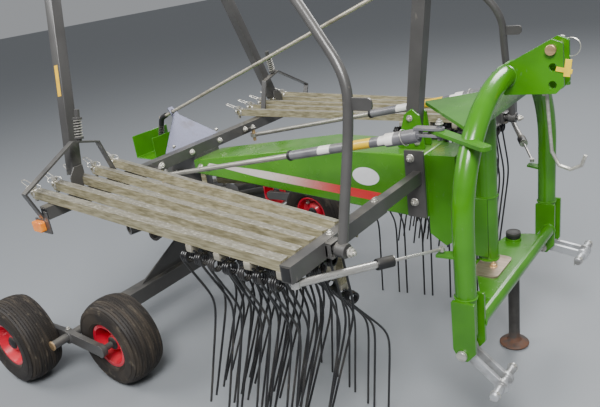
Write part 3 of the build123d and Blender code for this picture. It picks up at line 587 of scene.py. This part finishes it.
def add_spring_clip(form, place, line):
    """The pin of an arm's plug: a stout headed peg, a wire eye round it and a long narrow loop."""
    for sides, radius, depth, low in (
        (16, 0.0085, 0.060, -0.004), (16, 0.0135, 0.012, 0.026), (6, 0.0095, 0.010, -0.032),
    ):
        bmesh.ops.create_cone(
            form, cap_ends=True, segments=sides, radius1=radius, radius2=radius * 0.92, depth=depth,
            matrix=Matrix.Translation(place + Vector((0, 0, low))),
        )
    upright, slope = Vector((0, 0, 1)), 0.30
    across = line.cross(upright).normalized()
    rise = (line + upright * slope).normalized()
    eye = place + upright * 0.020
    add_ring(form, eye, upright - line * slope, 0.0285, 0.0048, 28, 6)
    half_loop = [(0.020, 0.011), (0.060, 0.011), (0.082, 0.008)]
    loop = half_loop + [(far, -wide) for far, wide in reversed(half_loop)]
    add_wire(form, eased([eye + rise * far + across * wide for far, wide in loop], 0.012, 4), 0.0022, 6)


arm_zinc = Finish("arm_zinc", {"Metallic": 0.45, "Specular IOR Level": 0.4})
top_face = arm_zinc.axis("Z", arm_zinc.facing).rise(0.45, 0.85)
streak = arm_zinc.noise(9, (1.5, 16, 16), 5).rise(0.30, 0.72)
speckle = arm_zinc.noise(130, (0.5, 1, 1), 4).rise(0.50, 0.68)
# Side faces get a darker, yellower zinc than the tops: painted shade on the sides.
side_zinc_painted_shade = arm_zinc.mix(streak, (0.22, 0.195, 0.11), (0.44, 0.40, 0.27))
top_zinc = arm_zinc.mix(speckle, (0.22, 0.205, 0.16), (0.45, 0.43, 0.36))
grime = arm_zinc.noise(42, (0.35, 1.6, 1.6), 6).rise(0.50, 0.74)
body = arm_zinc.mix(top_face, side_zinc_painted_shade, arm_zinc.mix(streak * 0.6, top_zinc, (0.40, 0.375, 0.30)))
arm_zinc.colour(arm_zinc.mix(grime * 0.6, body, (0.12, 0.105, 0.06)))
arm_zinc.rough(grime * 0.2 + speckle * 0.12 + 0.42)
arm_zinc.bump(arm_zinc.noise(160) + speckle * 0.5, 0.25, 0.0006)
front_end, front_outer, front_pitch, front_height = hitch - 0.331, 0.900, 0.068, 0.872
rear_end, rear_outer, rear_pitch, rear_height = hitch - 1.700, 0.850, 0.101, 0.9132
racked = 5
arm_starts, arm_ways = [], []
for side in (-1, 1):
    for number in range(racked):
        start = Vector((front_end, side * (front_outer - front_pitch * number), front_height))
        end = Vector((rear_end, side * (rear_outer - rear_pitch * number), rear_height))
        arm_starts.append(start)
        arm_ways.append(end - start)
for node in ("right_rack_arms", "left_rack_arms", "low_arms"):
    plated(node, arm_zinc, 0.0065, 4)
pins, collars = bmesh.new(), bmesh.new()
for start, way in zip(arm_starts, arm_ways):
    line = way.normalized()
    add_spring_clip(pins, start + line * (way.length + 0.010), line)
    for back, radius, length in ((-0.016, 0.0215, 0.012), (0.016, 0.0185, 0.010)):
        middle = start + line * (way.length + back)
        bmesh.ops.create_cone(
            collars, cap_ends=True, segments=24, radius1=radius, radius2=radius, depth=length,
            matrix=Matrix.Translation(middle) @ along(line),
        )
round_edges(collars, [edge for edge in collars.edges if edge.calc_face_angle() > 1], 0.0015)
piece("arm_linch_pins", pins, "frame", plated_zinc)
piece("arm_collars", collars, "frame", plated_zinc)

# Spring tines. Black spring wire wound into two coils with a leg below each, held under the
# arm by a galvanised folded clamp and one bolt. Where the brace passes, a tine has one coil.
galvanised = zinc("galvanised", (0.56, 0.52, 0.42), 0.44, 0.7)
tine_steel = Finish("tine_steel", {"Coat Weight": 0.2, "Coat Roughness": 0.25, "Specular IOR Level": 0.5})
dull = tine_steel.noise(16, (1, 1, 0.5), 4).rise(0.45, 0.72)
scrape = tine_steel.noise(90, (1, 1, 0.3), 4).rise(0.66, 0.71)
tine_black = tine_steel.mix(dull * 0.35, (0.008, 0.008, 0.009), (0.055, 0.050, 0.042))
tine_steel.colour(tine_steel.mix(scrape * 0.5, tine_black, (0.09, 0.075, 0.055)))
tine_steel.rough(dull * 0.3 + 0.32)
tine_steel.bump(tine_steel.noise(240), 0.12, 0.0004)
tine_wire, coil_side, coil_drop, coil_radius, coil_half = 0.0088, 0.031, 0.074, 0.0195, 0.0135
bridge_half, bridge_low, bridge_top = 0.0175, -0.055, -0.041
leg_line = [
    (-coil_radius, 0.010), (-0.0175, -0.010), (0.066, -0.175), (0.079, -0.225), (0.072, -0.277),
    (-0.033, -0.579),
]
tine_meshes = []
for sides in ((-1, 1), (-1,)):
    form = bmesh.new()
    for side in sides:
        coil = Vector((side * coil_side, 0, -coil_drop))
        add_ring(form, coil, (1, 0, 0), coil_radius, tine_wire, 14, 6, turns=3.0, climb=coil_half * 2)
        leg = [coil + Vector((side * coil_half, 0, 0)) + Vector((0, *point)) for point in leg_line]
        add_wire(form, eased(leg, 0.060, 4), tine_wire / 2, 6)
    end = bridge_half if len(sides) == 2 else 0.003
    bridge = [
        (-bridge_half, 0, bridge_low), (0.0025 - bridge_half, -0.012, bridge_top),
        (end - 0.0025, -0.012, bridge_top), (end, 0, bridge_low),
    ]
    add_wire(form, eased(bridge, 0.010, 3), tine_wire / 2, 6)
    bmesh.ops.remove_doubles(form, verts=form.verts, dist=1e-6)
    bmesh.ops.recalc_face_normals(form, faces=form.faces)
    tine_meshes.append(bpy.data.meshes.new("tine_pattern"))
    form.to_mesh(tine_meshes[-1])
    form.free()
form = bmesh.new()
folded = add_block(form, Matrix.Translation((0, -0.002, -0.0320)), (0.026, 0.036, 0.027))
round_edges(form, edges_of(folded), 0.003, 2)
add_bolt(form, (0, 0.004, -0.0455), (0, 0, -1), 0.010, nut=False)
clamp_mesh = bpy.data.meshes.new("clamp_pattern")
form.to_mesh(clamp_mesh)
form.free()


def add_copy(form, pattern, place):
    """One more copy of a pattern in a mesh, at its place."""
    before = len(form.verts)
    form.from_mesh(pattern)
    form.verts.ensure_lookup_table()
    bmesh.ops.transform(form, matrix=place, verts=form.verts[before:])


double_tine, single_tine = tine_meshes
first_tine, tine_pitch, arm_length, tines_an_arm = 0.012, 0.130, 1.369, 4
arm_rolls = [0, 4, 7, 12, 15, 12, 10, 7, 6, 4]
spots = {"right_rack_tines": [], "left_rack_tines": [], "low_tines": []}
for number, (start, way) in enumerate(zip(arm_starts, arm_ways)):
    node = "right_rack_tines" if number < racked else "left_rack_tines"
    for place in range(tines_an_arm):
        spot = Matrix.Translation(start + way * ((first_tine + tine_pitch * place) / arm_length))
        spot = spot @ Matrix.Rotation(math.radians(arm_rolls[number]), 4, way)
        beside_brace = place == 0 and number % racked < 2
        spots[node].append((spot, single_tine if beside_brace else double_tine))
for angle, roll, outer, arm_z, first in ((12, 13, 1.475, 0.672, 0.050), (-23, 12, 1.480, 0.650, 0.020)):
    arm = Matrix.Translation((rotor, 0, arm_z)) @ Matrix.Rotation(math.radians(angle), 4, "Z")
    arm = arm @ Matrix.Rotation(math.radians(roll), 4, "X")
    for place in range(tines_an_arm):
        spot = arm @ Matrix.Translation((outer - first - tine_pitch * place, 0, 0))
        spots["low_tines"].append((spot, double_tine))
for node, places in spots.items():
    wound, clamps = bmesh.new(), bmesh.new()
    for place, mesh in places:
        add_copy(wound, mesh, place)
        add_copy(clamps, clamp_mesh, place)
    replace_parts(piece(node + "_wound", wound, "frame", tine_steel, merge=False), node)
    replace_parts(piece(node + "_clamps", clamps, "frame", galvanised, merge=False), node)

# Side guards. A bent round tube in front, a square post behind and a top rail, painted dark
# grey. The front tube's eye and the post's foot turn on bolts, and a latch spring holds them.
guard_tube = [
    (-0.246, 0.731, 0.866), (-0.246, 0.632, 1.200), (-0.246, 0.612, 1.340),
    (-0.430, 0.560, 1.560), (-0.640, 0.528, 1.795), (-1.782, 0.462, 1.800),
]
hinge_front, hinge_rear = Vector((-0.246, 0.734, 0.855)), Vector((-1.650, 0.681, 0.961))
post_top = Vector((-1.786, 0.455, 1.822))
yellow_film = Finish("yellow_film", {"Specular IOR Level": 0.5})
soiled = yellow_film.noise(30).rise(0.4, 0.8) * 0.4
yellow_film.colour(yellow_film.mix(soiled, (0.80, 0.48, 0.015), (0.45, 0.27, 0.02)))
yellow_film.rough(yellow_film.noise(50) * 0.1 + 0.3)
tube_radius, tube_bend = 0.0158, 0.085
post_side, post_foot, label_start, label_size = 0.050, 0.020, 0.315, (0.024, 0.0006, 0.130)
eye_profile = [
    (-0.018, 0.0085), (-0.018, 0.0225), (-0.016, 0.024),
    (0.016, 0.024), (0.018, 0.0225), (0.018, 0.0085),
]
lug_place, lug_size = (-0.206, 0.622, 1.2685), (0.080, 0.008, 0.037)
coil_ends = (-1.594, 0.652, 1.104), (-1.594, 0.6376, 1.176)
spring_radius, spring_wire = 0.0165, 0.0042
strip_rear, strip_outer = -0.291, 0.760


def on_side(side, place):
    """A place given forward of the hitch, out from the middle and up, on one side."""
    forward, outward, up = place
    return Vector((hitch + forward, side * outward, up))


for name, side in (("right", -1), ("left", 1)):
    hoop, label, spring, bracket = bmesh.new(), bmesh.new(), bmesh.new(), bmesh.new()
    tube_line = [on_side(side, point) for point in guard_tube]
    add_wire(hoop, eased(tube_line, tube_bend, 8), tube_radius, 20)
    front, low, top = [on_side(side, point) for point in (hinge_front, hinge_rear, post_top)]
    post_way = (top - low).normalized()
    across = (Vector((1, 0, 0)) - post_way * post_way.x).normalized()
    turn = Matrix((across, post_way.cross(across), post_way)).transposed().to_4x4()
    length = (top - low).length + post_foot
    middle = Matrix.Translation(low - post_way * post_foot + post_way * length / 2) @ turn
    post = add_block(hoop, middle, (post_side, post_side, length))
    round_edges(hoop, edges_of(post), 0.0045, 3)
    hinge_way = (low - front).normalized()
    add_lathe(hoop, eye_profile, front, hinge_way, 32)
    lug = add_block(hoop, Matrix.Translation(on_side(side, lug_place)), lug_size)
    tips = []
    for edge in edges_of(lug):
        first, second = edge.verts
        if min(first.co.x, second.co.x) > hitch - 0.17 and abs(first.co.y - second.co.y) > 0.004:
            tips.append(edge)
    round_edges(hoop, tips, 0.014, 5)
    made = piece(name + "_guard_hoop", hoop, name + "_guard", grey_paint, merge=False)
    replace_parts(made, name + "_guard")
    outside = math.copysign(post_side / 2 + 0.0002, turn.col[1].y * side)
    spot = Matrix.Translation(low + post_way * (label_start + label_size[2] / 2)) @ turn
    add_block(label, spot @ Matrix.Translation((0, outside, 0)), label_size)
    piece(name + "_guard_label", label, name + "_guard", yellow_film)
    coil_low, coil_high = [on_side(side, end) for end in coil_ends]
    middle, climb = (coil_low + coil_high) / 2, coil_high - coil_low
    add_ring(spring, middle, climb, spring_radius, spring_wire, 16, 6, turns=6.5, climb=climb.length)
    piece(name + "_latch_spring", spring, "frame", plated_zinc)
    for high_x, low_z, high_z, inner in (
        (-0.2665, 0.829, 0.833, 0.708), (-0.2665, 0.877, 0.881, 0.708), (-0.2700, 0.829, 0.881, 0.756),
    ):
        near = on_side(side, (strip_rear, inner, low_z))
        far = on_side(side, (high_x, strip_outer, high_z))
        size = [abs(part) for part in far - near]
        strip = add_block(bracket, Matrix.Translation((near + far) / 2), size)
        round_edges(bracket, edges_of(strip), 0.0012, 2)
    piece(name + "_hinge_bracket", bracket, "frame", grey_paint)
    bolts(name + "_hinge_bolts", "frame", [
        (front - hinge_way * 0.028, -hinge_way, 0.0135), (low + hinge_way * 0.034, hinge_way, 0.0135),
    ])

# Stay rod and crank. A galvanised rod runs back from the upright post to a zinc bracket with a
# folded fan, where the crank has a ribbed black hand grip. Bolts hold the post in its lugs.
# The fan's zinc carries a blue tint: a painted reflection.
fan_zinc_painted_reflection = zinc("fan_zinc_painted_reflection", (0.16, 0.165, 0.225), 0.42, 0.3)
plated("crank_bracket", fan_zinc_painted_reflection, 0.0016)
plated("stay_rod", galvanised, 0.001)
grip = bmesh.new()
elbow = Vector((rotor - 0.114, 0, 0.995))
low_end = elbow + Vector((-0.038, 0, -0.112))
grip_line = [elbow + Vector((0.042, 0, 0.017)), elbow + Vector((0.001, 0, 0.001)), low_end]
grip_radius, first_rib, rib_pitch = 0.0135, 0.38, 0.085
add_wire(grip, eased(grip_line, 0.020, 6), grip_radius, 16)
for step in range(7):
    centre = elbow.lerp(low_end, first_rib + step * rib_pitch)
    add_ring(grip, centre, low_end - elbow, grip_radius, 0.0035, 20, 6)
piece("crank_grip", grip, "frame", black_plastic)
post_pins = []
for side in (-1, 1):
    for x, z in ((-0.400, 0.965), (-0.345, 0.965), (-0.371, 1.058)):
        post_pins.append(((hitch + x, side * 0.033, z), (0, side, 0), 0.010))
    post_pins.append(((rotor + 0.145, side * 0.150 - 0.02, 0.905), (-0.77, 0, 0.64), 0.008))
bolts("post_bolts", "frame", post_pins)

# Swivel struts and braces. Painted barrels with clamp rings, a yellow band and bare paper
# labels. Zinc-plated rods slide in them, and a black sleeve sits on each brace's tube.
barrel_paint = Finish("barrel_paint", {"Coat Weight": 0.3, "Coat Roughness": 0.15})
fork_x = -0.128
back = hitch + fork_x - barrel_paint.axis("X")
face_up, face_left = [barrel_paint.axis(name, barrel_paint.facing) for name in "ZY"]
near_face = face_up * 0.6 - face_left * 0.8


def between(start, end):
    """1 on a stretch of the barrel, measured back from the fork's pin."""
    return (back - start).rise(0, 0.002) * (1 - (back - end).rise(0, 0.002))


label = between(0.162, 0.222).over(between(0.426, 0.480)) * near_face.rise(0.30, 0.34)
band = between(0.256, 0.340)
dust = barrel_paint.dust(0.5)
cloud = barrel_paint.noise(20).rise(0.3, 0.7)
body = barrel_paint.mix(cloud, (0.105, 0.104, 0.115), (0.150, 0.148, 0.160))
body = barrel_paint.mix(label, body, (0.78, 0.76, 0.72))
body = barrel_paint.mix(band, body, (0.78, 0.50, 0.010))
barrel_paint.colour(barrel_paint.mix(dust, body, dust_colour))
barrel_paint.rough(dust * 0.4 + barrel_paint.noise(40) * 0.1 + 0.28)
barrel_paint.bump(barrel_paint.noise(220) + label * 0.8, 0.12, 0.0005)
rod_zinc = zinc("rod_zinc", (0.50, 0.48, 0.42), 0.36, 0.5)
brace_steel = Finish("brace_steel", {"Metallic": 0.85, "Specular IOR Level": 0.5})
wear = brace_steel.noise(14, (1, 1, 3), 5).rise(0.40, 0.75)
brace_steel.colour(brace_steel.mix(wear * 0.6, (0.60, 0.585, 0.55), (0.30, 0.27, 0.22)))
brace_steel.rough(wear * 0.2 + 0.27)
brace_steel.bump(brace_steel.noise(300), 0.1, 0.0003)
ring_radius = 0.0205
ring_profile = [
    (-0.006, ring_radius - 0.006), (-0.006, ring_radius - 0.001), (-0.004, ring_radius),
    (0.004, ring_radius), (0.006, ring_radius - 0.001), (0.006, ring_radius - 0.006),
]
sleeve_profile = [
    (0.270, 0.0125), (0.270, 0.0175), (0.273, 0.0185),
    (0.327, 0.0185), (0.330, 0.0175), (0.330, 0.0125),
]
ring_place, clip_place, clip_lean = 0.632, 0.130, Vector((0.18, 0, -0.12))
for name, side in (("right", -1), ("left", 1)):
    plated(name + "_strut_barrel", barrel_paint, 0.0015)
    plated(name + "_strut_rod", rod_zinc, 0.001)
    plated(name + "_brace_tube", brace_steel, 0.001)
    plated(name + "_brace_rod", brace_steel, 0.0008)
    fork = on_side(side, (fork_x, 0.288, 1.092))
    strut = (on_side(side, (-1.516, 0.332, 0.822)) - fork).normalized()
    rings, clip, sleeve = bmesh.new(), bmesh.new(), bmesh.new()
    add_lathe(rings, ring_profile, fork + strut * ring_place, strut, 32)
    piece(name + "_strut_rings", rings, name + "_strut_barrel", black_plastic)
    add_ring(clip, fork + strut * clip_place, strut + clip_lean, 0.0285, 0.0030, 32, 6)
    piece(name + "_strut_clip", clip, name + "_strut_barrel", plated_zinc)
    foot = on_side(side, (-0.311, 0.893, 0.808))
    brace = (on_side(side, (-0.066, 0.446, 0.755)) - foot).normalized()
    add_lathe(sleeve, sleeve_profile, foot, brace, 32)
    piece(name + "_brace_sleeve", sleeve, name + "_brace_tube", black_plastic)
    fork_bolt = (fork + Vector((0, 0, 0.027)), (0, 0, 1), 0.011)
    bolts(name + "_strut_bolts", name + "_strut_barrel", [fork_bolt])
plated("strut_pins", yellow_zinc, 0.001)
pin_tops = [on_side(side, (-1.516, 0.332, 0.862)) for side in (-1, 1)]
bolts("strut_pin_bolts", "frame", [(place, (0, 0, 1), 0.011) for place in pin_tops])

# Rotor and gearbox. A pressed rotor housing in dark grey with a ring of empty arm sockets,
# under a cast gearbox. Both are bolted round their flanges.
plated("rotor_housing", grey_paint, 0.0025)
plated("gearbox", grey_paint, 0.002)


def bolt_circle(radius, height, count, first, size):
    """Upright bolts spaced evenly round the rotor's axis."""
    circle = []
    for step in range(count):
        turn = math.radians(step * 360 / count + first)
        place = (rotor + radius * math.cos(turn), radius * math.sin(turn), height)
        circle.append((place, (0, 0, 1), size))
    return circle


bolts("rotor_bolts", "rotor", bolt_circle(0.185, 0.585, 12, 0, 0.010))
# The shoe under the beam covers the two bolts in front.
lid_bolts = bolt_circle(0.112, 0.740, 8, 22.5, 0.009)
bolts("gearbox_bolts", "frame", lid_bolts[1:-1])

# Wheels. Ribbed implement tyres, dusty brown from the yard, on pressed red rims with four
# wheel bolts, a hub cap and a valve. Each turns on a stub of its rocker.
rubber = Finish("rubber", {"Specular IOR Level": 0.35})
smear = rubber.noise(5, (1, 10, 1), 5).rise(0.42, 0.74)
mud = rubber.noise(26, (1, 3, 1), 5).rise(0.58, 0.72)
tread = rubber.mix(smear * 0.7, (0.017, 0.014, 0.012), (0.068, 0.053, 0.038))
rubber.colour(rubber.mix(mud * 0.4, tread, (0.15, 0.125, 0.09)))
rubber.rough(smear * 0.15 + 0.62)
rubber.bump(rubber.noise(60, (1, 6, 1), 5) + mud * 0.4, 0.4, 0.0015)
rim_paint = paint("rim_paint", (0.580, 0.006, 0.030), 0.30, 0.25, 0.8, 0.5, (0.25, 0.08, 0.08))
tyre_radius, crown_radius, tread_half, rib_count, groove = 0.2045, 0.2042, 0.072, 12, 0.003
tyre_side = [
    (-0.070, 0.106), (-0.076, 0.112), (-0.0825, 0.126), (-0.0855, 0.142),
    (-0.0855, 0.160), (-0.083, 0.174), (-0.078, 0.186),
]
tread_line = []
for rib in range(rib_count):
    for share, depth in ((0.06, groove), (0.20, 0.0), (0.80, 0.0), (0.94, groove)):
        across = tread_half * (2 * (rib + share) / rib_count - 1)
        crown = crown_radius - 0.0125 * (across / tread_half) ** 2 - 0.004 * (across / tread_half) ** 6
        tread_line.append((across, crown - depth))
far_side = [(-across, radius) for across, radius in reversed(tyre_side)]
section = tyre_side + tread_line + far_side + [(0.066, 0.104), (-0.066, 0.104)]
half_base, front_track, rear_track, stud_circle = 0.233, 0.774, 0.988, 0.072
cap_line = [(-0.002, 0.031), (0.004, 0.030), (0.010, 0.022), (0.011, 0.001), (-0.002, 0.001)]
valve_line = [(0.070, 0.024), (0.074, 0.040), (0.077, 0.052)]
for name, side in (("right", -1), ("left", 1)):
    for place, x, y in (("front", rotor + half_base, front_track), ("rear", rotor - half_base, rear_track)):
        wheel, hub = f"{name}_{place}_wheel", Vector((x, side * y, tyre_radius))
        form = bmesh.new()
        add_lathe(form, section, hub, (0, 1, 0), 72)
        for face in (-1, 1):
            for radius, out in ((0.120, 0.0805), (0.168, 0.0848)):
                add_ring(form, hub + Vector((0, face * out, 0)), (0, 1, 0), radius, 0.0024, 72, 6)
        made = piece(wheel + "_rubber", form, wheel, rubber)
        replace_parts(made, f"{name}_{place}_tyre")
        plated(f"{name}_{place}_rim", rim_paint, 0.0015)
        faces = side if place == "rear" else -side
        studs, cap = [], bmesh.new()
        for step in range(4):
            turn = math.radians(45 + 90 * step)
            spoke = Vector((stud_circle * math.cos(turn), faces * 0.0215, stud_circle * math.sin(turn)))
            studs.append((hub + spoke, (0, faces, 0), 0.010))
        bolts(wheel + "_studs", wheel, studs)
        for end, low in ((faces, 0.050), (-faces, 0.044)):
            add_lathe(cap, [(low + up, radius) for up, radius in cap_line], hub, (0, end, 0), 32)
        valve = [hub + Vector((x, faces * y, -0.012)) for x, y in valve_line]
        add_wire(cap, eased(valve, 0.006, 3), 0.0035, 8)
        piece(wheel + "_cap", cap, wheel, black_plastic)
form = bmesh.new()
pin_cap = [
    (0.0, 0.0005), (0.0, 0.0215), (0.002, 0.023), (0.005, 0.023), (0.007, 0.021), (0.008, 0.0005),
]
for side in (-1, 1):
    add_lathe(form, pin_cap, (rotor - 0.003, side * 0.970, 0.215), (0, side, 0), 32)
piece("rocker_pin_caps", form, "frame", yellow_zinc)

# Marker lamps. Orange plastic lenses with fine ribs. Each is screwed to a dark painted plate at
# an end of the rear crossbar.
lens = Finish("lens", {"Coat Weight": 0.6, "Coat Roughness": 0.08, "Subsurface Weight": 0.1})
stripes = lens.node("ShaderNodeTexWave", {"bands_direction": "X"}, {"Vector": lens.place, "Scale": 60})
lens.colour(lens.mix(lens.noise(14).rise(0.3, 0.7), (0.85, 0.20, 0.010), (0.95, 0.32, 0.020)))
lens.rough(lens.noise(30) * 0.1 + 0.12)
lens.bump(stripes, 0.35, 0.001)
plated("lamps", lens, 0.002, 3)
plated("lamp_plates", grey_paint, 0.0015)
